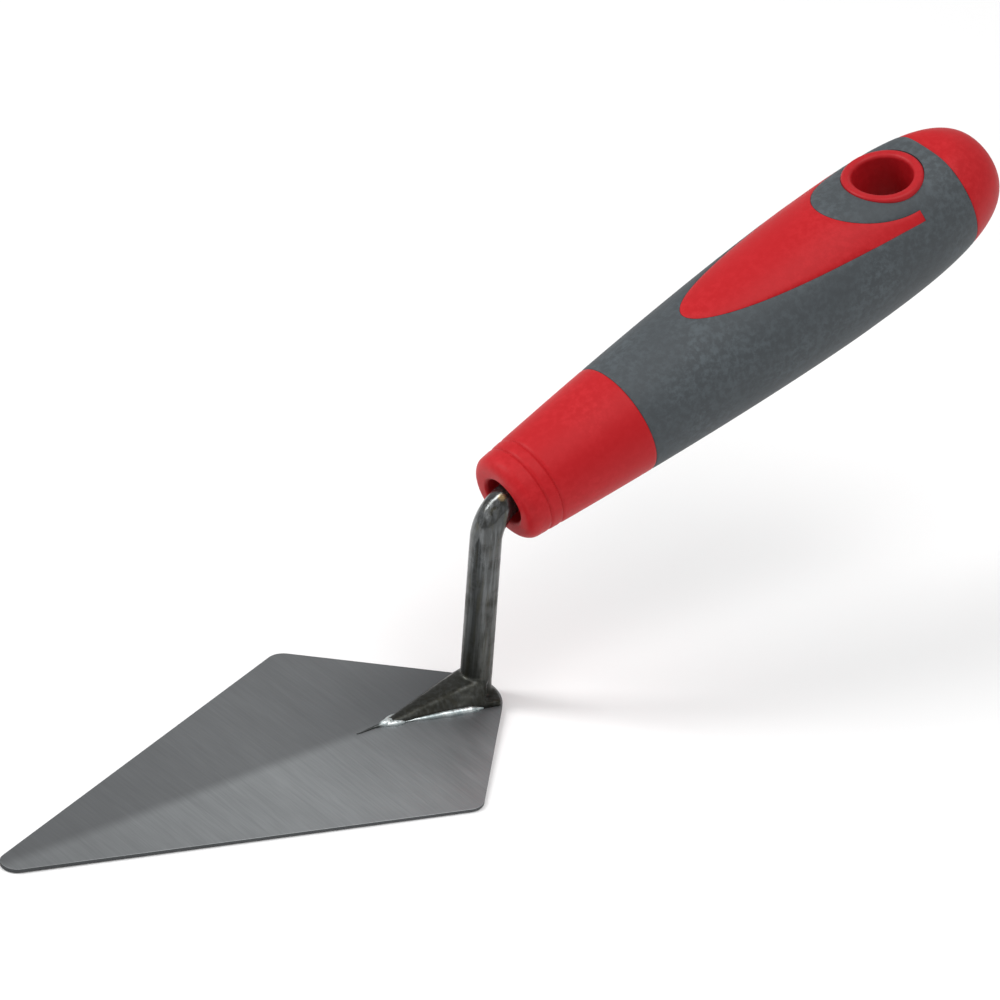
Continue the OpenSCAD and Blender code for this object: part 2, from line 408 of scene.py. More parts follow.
def groove(s):
    """How deep the fine rings cut into the collar at a distance from the mouth."""
    return sum(RING_DEPTH * max(0, 1 - abs(s - ring) / RING_W) ** 2 for ring in RING_AT)


def collar_outline():
    lip_middle = handle_r(LIP_R) - LIP_R
    lip = [(lip_middle + LIP_R * math.sin(a), LIP_R - LIP_R * math.cos(a)) for a in steps(0, 1.5, 0.15)]
    edge_middle = RECESS_R + MOUTH_EDGE_R
    edge = [(edge_middle - MOUTH_EDGE_R * math.cos(a), MOUTH_EDGE_R - MOUTH_EDGE_R * math.sin(a))
            for a in steps(0, 1.5, 0.2)]
    side = [(handle_r(s) - groove(s), s) for s in steps(3, 12, 0.2) + steps(13, COLLAR_LEN - 1)]
    side += [(handle_r(s), s) for s in (COLLAR_LEN - 0.5, COLLAR_LEN - 0.25, COLLAR_LEN)]
    return [(BORE_R, RECESS_D), (RECESS_R, RECESS_D), (RECESS_R, RECESS_D - 1)] + edge + lip + side


under_sleeve = [(handle_r(s) - CORE_INSET, s) for s in steps(COLLAR_LEN, DOME_AT, 2)]
dome = dome_outline()
dome_start = [(handle_r(s), s) for s in (DOME_AT, DOME_AT + 0.25, DOME_AT + 0.5)]
core_outline = [(0, BORE_D), (BORE_R, BORE_D)] + collar_outline() + under_sleeve + dome_start + dome[2:]
core = spun("hard_core", core_outline, below=0.9)
carve(core, bar_across("hole_cutter", EYELET_R - SEAM_GAP, CUTTER_HALF_LEN), "DIFFERENCE")
ease_seams(core, ends=(COLLAR_LEN, DOME_AT))
smooth_shade(core)
print("core faces:", len(core.data.polygons))

# %% [markdown]
# ## The window pad and the eyelet
# The pad is a slice of the full handle shape inside the window's outline. The eyelet is a
# short tube through the handle. Its rims are rounded and follow the floor of the scoops.

# %% Build the pad and the eyelet
PAD_FROM = 50
PAD_TO = 124
pad_wall = [(handle_r(s), s) for s in steps(PAD_FROM, PAD_TO)]
pad = spun("window_pad", [(0, PAD_FROM)] + pad_wall + [(0, PAD_TO)])
carve(pad, window_prism("pad_cutter", SEAM_GAP), "INTERSECT")
ease_seams(pad)
smooth_shade(pad)

HOLE_R = hang_hole["dims"]["r_mm"]
RIM_R = 1.0
RIM_PROUD = 0.25


def eyelet_outline():
    """Half section of the eyelet as (distance from the hole's axis, height over its middle)."""
    top = scoop_height(HOLE_AT) + RIM_PROUD
    outside = [(EYELET_R - RIM_R + RIM_R * math.cos(a), top - RIM_R + RIM_R * math.sin(a))
               for a in steps(0, math.pi / 2, 0.2)]
    inside = [(HOLE_R + RIM_R - RIM_R * math.sin(a), top - RIM_R + RIM_R * math.cos(a))
              for a in steps(0, math.pi / 2, 0.2)]
    upper = outside + inside
    return upper + [(r, -h) for r, h in upper[::-1]]


def build_eyelet(sides=128):
    section = eyelet_outline()
    n = len(section)
    vertices = []
    for i in range(sides):
        a = 2 * math.pi * i / sides
        for r, height in section:
            s = HOLE_AT + r * math.cos(a)
            follow = scoop_height(s) - scoop_height(HOLE_AT)
            vertices.append(on_handle(height + (follow if height > 0 else -follow), r * math.sin(a), s))
    faces = []
    for i in range(sides):
        j = (i + 1) % sides
        for k in range(n):
            m = (k + 1) % n
            faces.append((i * n + k, i * n + m, j * n + m, j * n + k))
    return new_piece("hole_eyelet", vertices, faces)


eyelet = build_eyelet()
smooth_shade(eyelet)
print("pad faces:", len(pad.data.polygons), "eyelet faces:", len(eyelet.data.polygons))

# %% [markdown]
# ## The blade
# The blade is a ground plate: flat underneath, with two faces on top that fall from a soft
# middle ridge to a thin edge. The outline is a kite with rounded corners. A fine bevel takes
# the sharpness off every edge, as grinding does.

# %% Build the blade
BLADE_LEN = 150
BLADE_W = 74.6
SHOULDER_SET = 37.5
HEEL_T = 1.6
TIP_T = 0.9
EDGE_T = 0.7
HEEL_X = -9.5
HEEL_ARC_R = 11
SHOULDER_ARC_R = 4.5
TIP_ARC_R = 3.5
BEVEL_W = 0.14


def ridge_height(x):
    return HEEL_T + (TIP_T - HEEL_T) * (x - HEEL_X) / BLADE_LEN


def blade_top(x, y):
    """Height of the ground face, found from the plane through heel, tip and one shoulder."""
    shoulder_x = HEEL_X + SHOULDER_SET
    fall = (ridge_height(shoulder_x) - EDGE_T) / (BLADE_W / 2)
    return ridge_height(x) - fall * abs(y)


def rounded_corner(before, corner, after, radius, count=16):
    """Points of an arc that touches both sides of a corner."""
    to_before = (Vector(before) - Vector(corner)).normalized()
    to_after = (Vector(after) - Vector(corner)).normalized()
    half = to_before.angle(to_after) / 2
    middle = (to_before + to_after).normalized()
    centre = Vector(corner) + middle * radius / math.sin(half)
    sweep = math.pi / 2 - half
    turn = math.atan2(-middle.y, -middle.x)
    way = 1 if to_before.x * to_after.y - to_before.y * to_after.x < 0 else -1
    return [centre + Vector((math.cos(turn + way * a), math.sin(turn + way * a))) * radius
            for a in steps(-sweep, sweep, 2 * sweep / count)]


def blade_outline():
    heel, tip = (HEEL_X, 0), (HEEL_X + BLADE_LEN, 0)
    left = (HEEL_X + SHOULDER_SET, BLADE_W / 2)
    right = (left[0], -left[1])
    corners = [(right, heel, left, HEEL_ARC_R), (heel, left, tip, SHOULDER_ARC_R),
               (left, tip, right, TIP_ARC_R), (tip, right, heel, SHOULDER_ARC_R)]
    points = []
    for before, corner, after, radius in corners:
        points += rounded_corner(before, corner, after, radius)
    return points


def build_blade():
    outline = blade_outline()
    n = len(outline)
    vertices = [Vector((p.x, p.y, 0)) * MM for p in outline]
    vertices += [Vector((p.x, p.y, blade_top(p.x, p.y))) * MM for p in outline]
    on_ridge = sorted(range(n), key=lambda i: (abs(outline[i].y), outline[i].x))[:2]
    heel, tip = sorted(on_ridge, key=lambda i: outline[i].x)
    left = [i for i in range(n) if outline[i].y > 1e-4]
    right = [i for i in range(n) if outline[i].y < -1e-4]

    def run(side):
        return sorted(side, key=lambda i: math.atan2(outline[i].y, outline[i].x - HEEL_X - SHOULDER_SET))

    walls = [(i, (i + 1) % n, n + (i + 1) % n, n + i) for i in range(n)]
    upper = [n + i for i in run(left)]
    lower = [n + i for i in run(right)]
    tops = [tuple([n + tip] + upper + [n + heel]), tuple([n + heel] + lower + [n + tip])]
    plate = new_piece("blade_plate", vertices, walls + tops + [tuple(range(n))])
    bevel = plate.modifiers.new("softened edges", "BEVEL")
    bevel.width = BEVEL_W * MM
    bevel.segments = 2
    bevel.limit_method = "ANGLE"
    bevel.angle_limit = math.radians(30)
    apply_modifiers(plate)
    return plate


blade = build_blade()
smooth_shade(blade, 20)
print("blade box, mm:", [round(c / MM, 2) for c in blade.dimensions])

# %% [markdown]
# ## The bent bar
# The bar is one piece of round steel. It rises from the heel, turns back in a tight bend and
# runs into the handle. Geometry Nodes sweeps a circle along its path. Its foot is forged out
# into a low wedge in front of the neck and a small round pad behind it.

# %% A Geometry Nodes sweep


def sweep_tree(name):
    """Sweeps a circle along a curve, with the radius taken from each point of the curve."""
    tree = bpy.data.node_groups.new(name, "GeometryNodeTree")
    tree.interface.new_socket("Curve", in_out="INPUT", socket_type="NodeSocketGeometry")
    thickness = tree.interface.new_socket("Bar radius", in_out="INPUT", socket_type="NodeSocketFloat")
    sides = tree.interface.new_socket("Sides", in_out="INPUT", socket_type="NodeSocketInt")
    skin = tree.interface.new_socket("Skin", in_out="INPUT", socket_type="NodeSocketMaterial")
    tree.interface.new_socket("Bar", in_out="OUTPUT", socket_type="NodeSocketGeometry")
    add = tree.nodes.new
    start, end = add("NodeGroupInput"), add("NodeGroupOutput")
    circle, sweep = add("GeometryNodeCurvePrimitiveCircle"), add("GeometryNodeCurveToMesh")
    scale, realize = add("GeometryNodeInputRadius"), add("GeometryNodeRealizeInstances")
    paint, shade = add("GeometryNodeSetMaterial"), add("GeometryNodeSetShadeSmooth")
    sweep.inputs["Fill Caps"].default_value = True
    link = tree.links.new
    link(start.outputs["Sides"], circle.inputs["Resolution"])
    link(start.outputs["Bar radius"], circle.inputs["Radius"])
    link(start.outputs["Curve"], sweep.inputs["Curve"])
    link(circle.outputs["Curve"], sweep.inputs["Profile Curve"])
    if "Scale" in sweep.inputs:
        link(scale.outputs["Radius"], sweep.inputs["Scale"])
    link(sweep.outputs["Mesh"], shade.inputs["Geometry"])
    link(shade.outputs["Geometry"], realize.inputs["Geometry"])
    link(realize.outputs["Geometry"], paint.inputs["Geometry"])
    link(start.outputs["Skin"], paint.inputs["Material"])
    link(paint.outputs["Geometry"], end.inputs["Bar"])
    return tree, {"radius": thickness.identifier, "sides": sides.identifier, "skin": skin.identifier}


sweep_nodes, sweep_inputs = sweep_tree("round bar along a path")


def swept(name, path, radius, sides, skin):
    """Makes a closed bar along a path of (place in mm, thickness factor)."""
    line = bpy.data.curves.new(name + "_path", "CURVE")
    line.dimensions = "3D"
    spline = line.splines.new("POLY")
    spline.points.add(len(path) - 1)
    for point, (place, factor) in zip(spline.points, path):
        point.co = (*(Vector(place) * MM), 1)
        point.radius = factor
    holder = bpy.data.objects.new(name + "_path", line)
    bpy.context.scene.collection.objects.link(holder)
    nodes = holder.modifiers.new("sweep", "NODES")
    nodes.node_group = sweep_nodes
    nodes[sweep_inputs["radius"]] = radius * MM
    nodes[sweep_inputs["sides"]] = sides
    nodes[sweep_inputs["skin"]] = skin
    graph = bpy.context.evaluated_depsgraph_get()
    graph.update()
    mesh = bpy.data.meshes.new_from_object(holder.evaluated_get(graph))
    holder.modifiers.clear()
    bpy.data.objects.remove(holder)
    bpy.data.curves.remove(line)
    mesh.name = name
    piece = bpy.data.objects.new(name, mesh)
    bpy.context.scene.collection.objects.link(piece)
    tidy_mesh(piece)
    return piece


print("sweep inputs:", sweep_inputs)

# %% Path of the bar
ROD_R = 3.65
NECK_H = 49.4
NECK_LEAN = math.radians(2.3)
BEND_R = 9.5
TURN = math.radians(90 - 20 + 2.3)
SPIKE_LEN = 92
neck_way = Vector((math.sin(NECK_LEAN), 0, math.cos(NECK_LEAN)))
neck_front = Vector((neck_way.z, 0, -neck_way.x))
corner = Vector((NECK_H * math.tan(NECK_LEAN), 0, NECK_H))
bend_reach = BEND_R * math.tan(TURN / 2)
bend_start = corner - neck_way * bend_reach
bend_centre = bend_start - neck_front * BEND_R
NECK_FROM = HEEL_T + 0.9
neck_run = (bend_start - neck_way * NECK_FROM).length
bar_path = [(neck_way * (NECK_FROM + t), 1.0) for t in steps(0, neck_run, 1.5)]
for a in steps(0, TURN, 0.05)[1:]:
    spot = bend_centre + neck_front * BEND_R * math.cos(a) + neck_way * BEND_R * math.sin(a)
    bar_path.append((spot, 1 + 0.014 * math.sin(math.pi * a / TURN)))
bend_end = bar_path[-1][0]
spike_tip_reach = SPIKE_LEN - bend_reach
bar_path += [(bend_end + handle_along * t, 1.0) for t in steps(0, spike_tip_reach - 1.2, 3)[1:]]
bar_path.append((bend_end + handle_along * (spike_tip_reach - 0.3), 0.8))
print("bar length, mm:", round(sum((b[0] - a[0]).length for a, b in zip(bar_path, bar_path[1:])), 1))

# %% Outline of the foot
FOOT_REACH = 36
FOOT_HALF = 7.8
FOOT_END_R = 14
FOOT_SET = 5.8
PAD_T = 1.1
TOE_R = 0.6
TOE_T = 0.3
TOE_X = HEEL_X + FOOT_REACH
FOOT_END_X = HEEL_X + FOOT_SET
FOOT_CORNER_X = FOOT_END_X + FOOT_END_R - math.sqrt(FOOT_END_R ** 2 - FOOT_HALF ** 2)


def foot_half(x):
    """Half the width of the wedge, from the corners of the pad to the toe."""
    return TOE_R + (FOOT_HALF - TOE_R) * (TOE_X - x) / (TOE_X - FOOT_CORNER_X)


def hull_piece(name, places):
    """A closed piece round a cloud of places in millimetres."""
    bm = bmesh.new()
    for place in places:
        bm.verts.new(Vector(place) * MM)
    result = bmesh.ops.convex_hull(bm, input=bm.verts)
    loose = list(set(result["geom_interior"] + result["geom_unused"]))
    bmesh.ops.delete(bm, geom=[g for g in loose if isinstance(g, bmesh.types.BMVert)], context="VERTS")
    mesh = bpy.data.meshes.new(name)
    bm.to_mesh(mesh)
    bm.free()
    piece = bpy.data.objects.new(name, mesh)
    bpy.context.scene.collection.objects.link(piece)
    tidy_mesh(piece)
    return piece


def ring(centre, radius, count=48):
    return [(centre[0] + radius * math.cos(2 * math.pi * i / count),
             centre[1] + radius * math.sin(2 * math.pi * i / count), centre[2]) for i in range(count)]


print("toe at x, mm:", TOE_X, "pad end at x, mm:", round(FOOT_END_X, 2))

# %% [markdown]
# The wedge is the hull of the neck's disc, the flat foot and the toe. Its ridge therefore runs
# in a straight line from the neck down to the toe, as a forged one does. The three parts of
# the bar are then melted together by a fine remesh, and a little smoothing rounds the joins.

# %% Build the bar
FOOT_BASE = 0.8
REMESH_MM = 0.36
WEDGE_BACK_X = 2.6


def build_bar():
    bar = swept("tang_bar", bar_path, ROD_R, 96, None)
    seat = HEEL_T + PAD_T
    wedge_sides = [(WEDGE_BACK_X, foot_half(WEDGE_BACK_X)), (7.3, foot_half(7.3))]
    cloud = [(x, y, z) for x, y, z in ring((neck_way.x * 6.6, 0, 6.6), ROD_R) if x > -0.6]
    cloud += [(x, way * half, z) for x, half in wedge_sides for way in (-1, 1)
              for z in (FOOT_BASE, seat - 0.15)]
    cloud += ring((TOE_X - TOE_R, 0, ridge_height(TOE_X) + TOE_T), TOE_R, 16)
    cloud += ring((TOE_X - TOE_R, 0, FOOT_BASE), TOE_R, 16)
    join(bar, hull_piece("foot_wedge", cloud))
    end_centre = FOOT_END_X + FOOT_END_R
    sweep = math.asin(FOOT_HALF / FOOT_END_R)
    back_edge = [(end_centre - FOOT_END_R * math.cos(a), FOOT_END_R * math.sin(a))
                 for a in steps(-sweep, sweep, 0.06)]
    pad_cloud = [(x, y, FOOT_BASE) for x, y in back_edge]
    pad_cloud += [(x + 0.05, y * 0.99, seat - 0.1) for x, y in back_edge]
    pad_cloud += [(x + 0.35, y * 0.95, seat) for x, y in back_edge]
    pad_cloud += [(6, y, z) for y in (-6.0, 6.0) for z in (FOOT_BASE, seat)]
    join(bar, hull_piece("heel_pad", pad_cloud))
    neck_foot = ring((neck_way.x * 3, 0, seat - 0.2), ROD_R + 0.3) + ring((neck_way.x * 4.4, 0, 4.4), ROD_R)
    join(bar, hull_piece("neck_flare", neck_foot))
    melt_piece(bar, REMESH_MM, 3)

    def hammered(spot):
        near_foot = max(0, 1 - max(spot.z - 3, 0) / 9) if spot.x > -12 else 0
        if spot.z < HEEL_T - 0.4:
            return 0
        return noise.fractal(spot * 0.3, 0.6, 2.1, 3) * 0.1 * near_foot + noise.noise(spot * 0.9) * 0.015

    roughen(bar, hammered, FOOT_BASE)
    return bar


bar = build_bar()
tidy_mesh(bar)
smooth_shade(bar, 60)
print("bar faces:", len(bar.data.polygons))

# %% [markdown]
# ## The welds
# A bead runs along each side of the foot and a short one closes its toe. The near bead is
# bright, and the far one is smaller, with painted shade that makes it dark. A bead is laid in
# small overlapping ripples, so its radius swells and pinches along the way, and it fades out at both ends.

# %% Build the welds
BEAD_R = 1.0
RIPPLE_MM = 1.15
BEAD_STEP = 0.22
BEAD_SIDES = 20
WELD_REMESH_MM = 0.17
BEAD_SEED = 7


def bead_path(way, start_x, end_x, size, out=0.0):
    """Places along one side of the foot, with a rippled thickness."""
    path = []
    for x in steps(start_x, end_x, BEAD_STEP):
        t = (x - start_x) / (end_x - start_x)
        ripple = 0.03 * abs(math.sin(math.pi * x / RIPPLE_MM))
        wander = noise.noise(Vector((x * 0.5, way * 3.1, BEAD_SEED)))
        y = foot_half(x) + out + 0.12 * wander
        taper = min(1, 0.2 + 5 * t) * max(0.12, 1 - t ** 2.2)
        path.append(((x, way * y, blade_top(x, y) + 0.2), (size + ripple + 0.06 * wander) * taper))
    return path


weld_left = swept("weld_bead_left", bead_path(1, 2.9, 22.2, 1.02), BEAD_R, BEAD_SIDES, None)
weld_right = swept("weld_bead_right", bead_path(-1, 3.0, 19.5, 0.6, -0.35), BEAD_R, BEAD_SIDES, None)


def build_toe_weld():
    """A short puddle over the toe, drawn out into a thin crease in front of it. The crease is painted dark as
    shade.
    """
    crease = ((24.2, 0.7), (25.4, 1.05), (26.8, 0.95), (27.9, 0.5),
              (29.2, 0.36), (31, 0.29), (32.8, 0.2), (34.5, 0.1))
    middle = [((x, 0.08 * math.sin(x), ridge_height(x) + 0.08), size) for x, size in crease]
    toe = swept("weld_toe_puddle", middle, BEAD_R, BEAD_SIDES, None)
    shoulder = ((21.8, 0.25), (22.8, 0.6), (24.2, 0.8), (25.6, 0.55), (26.6, 0.25))
    for way in (-1, 1):
        fullness = 0.8 + 0.2 * way
        line = [((x, way * (foot_half(x) + 0.1), blade_top(x, 1.5) + 0.15), size * fullness)
                for x, size in shoulder]
        side = swept("toe_side", line, BEAD_R, BEAD_SIDES, None)
        join(toe, side)
    return toe


weld_toe = build_toe_weld()
for weld in (weld_left, weld_right, weld_toe):
    melt_piece(weld, WELD_REMESH_MM, 2)
    roughen(weld, lambda spot: noise.fractal(spot * 1.1, 0.7, 2.0, 3) * 0.035, 0.9)
    tidy_mesh(weld)
    smooth_shade(weld, 80)
print("weld faces:", [len(w.data.polygons) for w in (weld_left, weld_right, weld_toe)])

# %% [markdown]
# ## Materials
# Each real material gets one procedural surface. The patterns live in shader groups with
# named inputs, which give colours, roughness and heights, and the shaders stay in the
# materials. Every pattern is laid out in the object's own metres.

# %% Helpers for shader nodes


def shader_group(name, inputs, outputs):
    """A node group with named inputs (name, kind, default) and outputs (name, kind)."""
    group = bpy.data.node_groups.new(name, "ShaderNodeTree")
    for label, kind, value in inputs:
        socket = group.interface.new_socket(label, in_out="INPUT", socket_type="NodeSocket" + kind)
        if value is not None:
            socket.default_value = value
    for label, kind in outputs:
        group.interface.new_socket(label, in_out="OUTPUT", socket_type="NodeSocket" + kind)
    return group, group.nodes.new("NodeGroupInput"), group.nodes.new("NodeGroupOutput")


def noise_node(group, scale, detail=3.0, rough=0.5, place=None):
    node = group.nodes.new("ShaderNodeTexNoise")
    node.inputs["Scale"].default_value = scale
    node.inputs["Detail"].default_value = detail
    node.inputs["Roughness"].default_value = rough
    if place is not None:
        group.links.new(place, node.inputs["Vector"])
    return node.outputs["Fac"]


def math_node(group, operation, first, second=None, clamp=False):
    node = group.nodes.new("ShaderNodeMath")
    node.operation = operation
    node.use_clamp = clamp
    for socket, value in zip(node.inputs, (first, second)):
        if value is None:
            continue
        if isinstance(value, (int, float)):
            socket.default_value = value
        else:
            group.links.new(value, socket)
    return node.outputs[0]


def ramp_node(group, factor, low, high, to_low=0.0, to_high=1.0):
    node = group.nodes.new("ShaderNodeMapRange")
    node.interpolation_type = "SMOOTHSTEP"
    for label, value in (("From Min", low), ("From Max", high), ("To Min", to_low), ("To Max", to_high)):
        node.inputs[label].default_value = value
    group.links.new(factor, node.inputs["Value"])
    return node.outputs["Result"]


def mix_colour(group, factor, first, second, blend="MIX"):
    node = group.nodes.new("ShaderNodeMix")
    node.data_type = "RGBA"
    node.blend_type = blend
    for label, value in (("Factor_Float", factor), ("A_Color", first), ("B_Color", second)):
        socket = next(s for s in node.inputs if s.identifier == label)
        if isinstance(value, tuple):
            socket.default_value = value
        elif isinstance(value, (int, float)):
            socket.default_value = value
        else:
            group.links.new(value, socket)
    return next(s for s in node.outputs if s.identifier == "Result_Color")


def stretched(group, place, scale):
    node = group.nodes.new("ShaderNodeVectorMath")
    node.operation = "MULTIPLY"
    group.links.new(place, node.inputs[0])
    node.inputs[1].default_value = scale
    return node.outputs[0]


def coordinate(group, place, axis):
    node = group.nodes.new("ShaderNodeSeparateXYZ")
    group.links.new(place, node.inputs[0])
    return node.outputs[axis]


print("shader helpers ready")

# %% [markdown]
# ** Ground steel.** A belt leaves fine lines across the blade. They show as a faint change of
# tone and as a stretched bump. The blade's material then paints shade on the far half of the
# top, on the tip and on the thin sides, and darkens the steel round the foot. This painted shade
# and darkening are fixed in the material, so they stay when the lights move.

# %% Ground steel pattern


def ground_steel_group():
    group, start, end = shader_group(
        "ground steel",
        [("Place", "Vector", None), ("Steel", "Color", (0.2, 0.2, 0.2, 1)),
         ("Worn", "Color", (0.3, 0.3, 0.3, 1)),
         ("Grain", "Float", 0.5)],
        [("Colour", "Color"), ("Roughness", "Float"), ("Height", "Float")])
    place = start.outputs["Place"]
    lines = noise_node(group, 1.0, 4, 0.6, stretched(group, place, (2600, 90, 400)))
    broad = noise_node(group, 26, 3, 0.5, place)
    cloud = noise_node(group, 95, 4, 0.6, stretched(group, place, (1.0, 0.35, 1.0)))
    amount = math_node(group, "MULTIPLY", lines, start.outputs["Grain"])
    tone = mix_colour(group, math_node(group, "ADD", amount, math_node(group, "MULTIPLY", broad, 0.35), True),
                      start.outputs["Steel"], start.outputs["Worn"])
    group.links.new(tone, end.inputs["Colour"])
    rough = math_node(group, "ADD", ramp_node(group, cloud, 0.3, 0.75, 0.37, 0.5),
                      math_node(group, "MULTIPLY", lines, 0.08))
    group.links.new(rough, end.inputs["Roughness"])
    group.links.new(lines, end.inputs["Height"])
    return group


def forged_scale_group():
    group, start, end = shader_group(
        "forged scale",
        [("Place", "Vector", None), ("Steel", "Color", (0.08, 0.08, 0.08, 1)),
         ("Scale", "Color", (0.02, 0.02, 0.02, 1)),
         ("Temper", "Color", (0.2, 0.12, 0.03, 1)), ("Heat", "Float", 0.0)],
        [("Colour", "Color"), ("Roughness", "Float"), ("Height", "Float")])
    place = start.outputs["Place"]
    coarse = noise_node(group, 210, 5, 0.62, place)
    fine = noise_node(group, 1500, 3, 0.6, place)
    streak = noise_node(group, 1.0, 3, 0.5, stretched(group, place, (900, 900, 120)))
    patches = ramp_node(group, coarse, 0.42, 0.62)
    base = mix_colour(group, patches, start.outputs["Steel"], start.outputs["Scale"])
    warm = math_node(group, "MULTIPLY", ramp_node(group, streak, 0.5, 0.72), start.outputs["Heat"])
    tint = mix_colour(group, warm, base, start.outputs["Temper"])
    group.links.new(tint, end.inputs["Colour"])
    group.links.new(math_node(group, "ADD", ramp_node(group, coarse, 0.35, 0.7, 0.3, 0.46),
                              math_node(group, "MULTIPLY", fine, 0.08)), end.inputs["Roughness"])
    group.links.new(math_node(group, "ADD", math_node(group, "MULTIPLY", coarse, 0.7),
                              math_node(group, "MULTIPLY", fine, 0.3)), end.inputs["Height"])
    return group


def moulded_group():
    group, start, end = shader_group(
        "moulded skin",
        [("Place", "Vector", None), ("Colour", "Color", (0.5, 0, 0, 1)),
         ("Faded", "Color", (0.6, 0.05, 0.05, 1)),
         ("Grain size", "Float", 1600.0), ("Gloss", "Float", 0.45)],
        [("Colour", "Color"), ("Roughness", "Float"), ("Height", "Float")])
    place = start.outputs["Place"]
    grain = group.nodes.new("ShaderNodeTexNoise")
    grain.inputs["Detail"].default_value = 2
    group.links.new(place, grain.inputs["Vector"])
    group.links.new(start.outputs["Grain size"], grain.inputs["Scale"])
    cells = group.nodes.new("ShaderNodeTexVoronoi")
    group.links.new(place, cells.inputs["Vector"])
    group.links.new(start.outputs["Grain size"], cells.inputs["Scale"])
    blotch = noise_node(group, 60, 3, 0.55, place)
    rubbed = noise_node(group, 640, 4, 0.65, place)
    fade = math_node(group, "MULTIPLY", ramp_node(group, blotch, 0.3, 0.75, 0.25, 1.0),
                     ramp_node(group, rubbed, 0.38, 0.68))
    tone = mix_colour(group, fade, start.outputs["Colour"], start.outputs["Faded"])
    group.links.new(tone, end.inputs["Colour"])
    spread = math_node(group, "MULTIPLY", math_node(group, "SUBTRACT", grain.outputs["Fac"], 0.5), 0.12)
    group.links.new(math_node(group, "ADD", start.outputs["Gloss"],
                              math_node(group, "ADD", spread, math_node(group, "MULTIPLY", fade, 0.06))),
                    end.inputs["Roughness"])
    height = math_node(group, "ADD", math_node(group, "MULTIPLY", grain.outputs["Fac"], 0.6),
                       math_node(group, "MULTIPLY", cells.outputs["Distance"], 0.5))
    group.links.new(height, end.inputs["Height"])
    return group


groups = {"steel": ground_steel_group(), "scale": forged_scale_group(), "skin": moulded_group()}
print("shader groups:", sorted(groups))

# %% [markdown]
# A material takes one of these groups, feeds its settings, and passes the results to one
# Principled shader. The bump comes last, with its depth given in millimetres.

# %% Build the materials


def material(name, group, settings, bump_mm, constants, extra=None):
    skin = bpy.data.materials.new(name)
    skin.use_nodes = True
    tree = skin.node_tree
    shader = next(n for n in tree.nodes if n.type == "BSDF_PRINCIPLED")
    for label, value in constants.items():
        shader.inputs[label].default_value = value
    where = tree.nodes.new("ShaderNodeTexCoord")
    pattern = tree.nodes.new("ShaderNodeGroup")
    pattern.node_tree = group
    tree.links.new(where.outputs["Object"], pattern.inputs["Place"])
    for label, value in settings.items():
        pattern.inputs[label].default_value = value
    colour, rough = pattern.outputs["Colour"], pattern.outputs["Roughness"]
    if extra:
        colour, rough = extra(tree, where.outputs["Object"], colour, rough)
    tree.links.new(colour, shader.inputs["Base Color"])
    tree.links.new(rough, shader.inputs["Roughness"])
    bump = tree.nodes.new("ShaderNodeBump")
    bump.inputs["Strength"].default_value = 1.0
    bump.inputs["Distance"].default_value = bump_mm * MM
    tree.links.new(pattern.outputs["Height"], bump.inputs["Height"])
    tree.links.new(bump.outputs["Normal"], shader.inputs["Normal"])
    return skin


def blade_shadows(tree, place, colour, rough):
    """Paints shade on the far half of the top, the tip and the thin sides, and darkens the steel round the
    foot.
    """
    facing = tree.nodes.new("ShaderNodeTexCoord").outputs["Normal"]
    level = math_node(tree, "ABSOLUTE", coordinate(tree, facing, "Z"))
    x = coordinate(tree, place, "X")
    y = coordinate(tree, place, "Y")
    # Painted shade: the far half of the top is mixed about halfway towards dark steel.
    far_face = ramp_node(tree, y, -0.0022, 0.0022, 1.0, 0.0)
    ground = mix_colour(tree, math_node(tree, "MULTIPLY", far_face, 0.48), colour, (0.075, 0.078, 0.082, 1))
    # The steel round the foot is mixed darker.
    near_foot = math_node(tree, "MULTIPLY", ramp_node(tree, x, 0.0, 0.06, 1.0, 0.0),
                          ramp_node(tree, math_node(tree, "ABSOLUTE", y), 0.004, 0.03, 1, 0))
    # Painted shade: the blade darkens towards the tip.
    tip = ramp_node(tree, x, 0.05, 0.14, 0.0, 0.38)
    shaded = mix_colour(tree, tip, ground, (0.09, 0.094, 0.097, 1))
    darker_round_foot = mix_colour(tree, math_node(tree, "MULTIPLY", near_foot, 0.5), shaded, (0.06, 0.064, 0.068, 1))
    # Painted shade: the steep thin sides of the plate are mixed towards near black.
    side = ramp_node(tree, level, 0.5, 0.85, 1.0, 0.0)
    return mix_colour(tree, math_node(tree, "MULTIPLY", side, 0.8), darker_round_foot, (0.02, 0.022, 0.024, 1)), rough


blade_steel = material("ground blade steel", groups["steel"],
                       {"Steel": (0.21, 0.221, 0.228, 1), "Worn": (0.42, 0.437, 0.447, 1),
                        "Grain": 0.65}, 0.008,
                       {"Metallic": 0.8}, blade_shadows)


